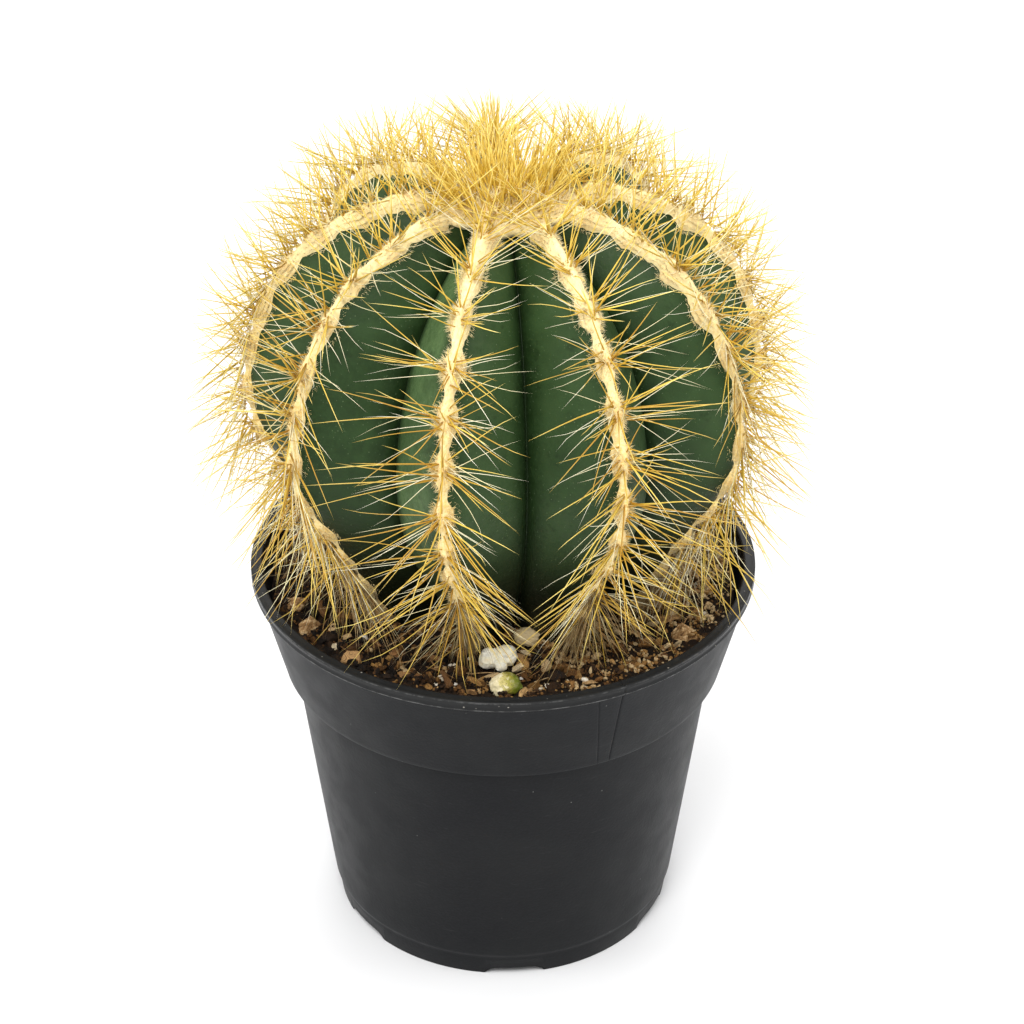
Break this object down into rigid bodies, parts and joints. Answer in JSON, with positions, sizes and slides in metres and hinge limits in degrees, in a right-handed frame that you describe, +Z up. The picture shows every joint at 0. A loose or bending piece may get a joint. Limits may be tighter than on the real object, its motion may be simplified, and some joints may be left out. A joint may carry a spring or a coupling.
{
  "type": "potted round cactus",
  "caption": "Round ribbed green cactus with cream wool and golden spines along each rib, in a black tapered nursery pot filled with potting mix.",
  "frame": {"origin": "middle of the pot's foot, on the surface that it stands on", "axes": "+Z up along the pot's axis, -Y towards the front of the picture, +X to its right"},
  "size_m": [0.1285, 0.1284, 0.184],
  "materials": {
    "pot_plastic": "satin",
    "potting_mix": "matte",
    "cactus_skin": "satin",
    "spines": "satin",
    "wool": "matte",
    "perlite": "matte",
    "pebble": "matte",
    "bark": "matte"
  },
  "bodies": {
    "root": {"pot": "pot_plastic", "potting_mix": "potting_mix", "cactus_body": "cactus_skin", "rib_spines_1": "spines", "rib_spines_2": "spines", "rib_spines_3": "spines", "rib_spines_4": "spines", "rib_spines_5": "spines", "rib_spines_6": "spines", "rib_spines_7": "spines", "rib_spines_8": "spines", "rib_spines_9": "spines", "crown_spines": "spines", "perlite_large": "perlite", "perlite_small": "perlite", "pebble": "pebble", "bark_1": "bark", "bark_2": "bark", "bark_3": "bark"}
  },
  "joints": []
}
